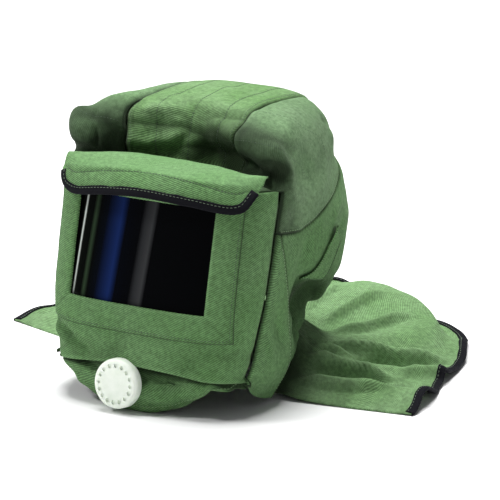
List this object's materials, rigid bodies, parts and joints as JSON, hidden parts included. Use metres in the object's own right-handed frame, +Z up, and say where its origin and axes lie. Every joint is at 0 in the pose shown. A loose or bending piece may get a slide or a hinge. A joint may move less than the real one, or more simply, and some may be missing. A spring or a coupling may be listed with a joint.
{
  "type": "sandblasting hood",
  "caption": "Canvas blasting hood with a wide framed lens under a bound flap, a round exhaust valve at the chin and a draped shoulder cape with a bound edge.",
  "frame": {"origin": "middle of the bottom of the whole part's box, on the surface it rests on", "axes": "+Z up, the face and lens towards -Y, +X towards the wearer's left"},
  "size_m": [0.5478, 0.4718, 0.29],
  "materials": {
    "canvas": "matt green cotton twill, stitched",
    "binding_tape": "matt black woven tape, stitched",
    "lens": "smooth dark polished sheet",
    "valve_plastic": "satin white moulded plastic"
  },
  "bodies": {
    "root": {"crown_band": "canvas", "face_panel": "canvas", "window_frame": "canvas", "lens": "lens", "cheek_gore_left": "canvas", "cheek_gore_right": "canvas", "side_upper_left": "canvas", "side_upper_right": "canvas", "side_lower_left": "canvas", "side_lower_right": "canvas", "ear_vent_flap_left": "canvas", "ear_vent_flap_right": "canvas", "chin_panel": "canvas", "exhaust_valve_cap": "valve_plastic", "exhaust_valve_seat": "valve_plastic", "lens_flap": "canvas", "flap_binding": "binding_tape", "cape": "canvas", "cape_binding": "binding_tape"}
  },
  "joints": []
}
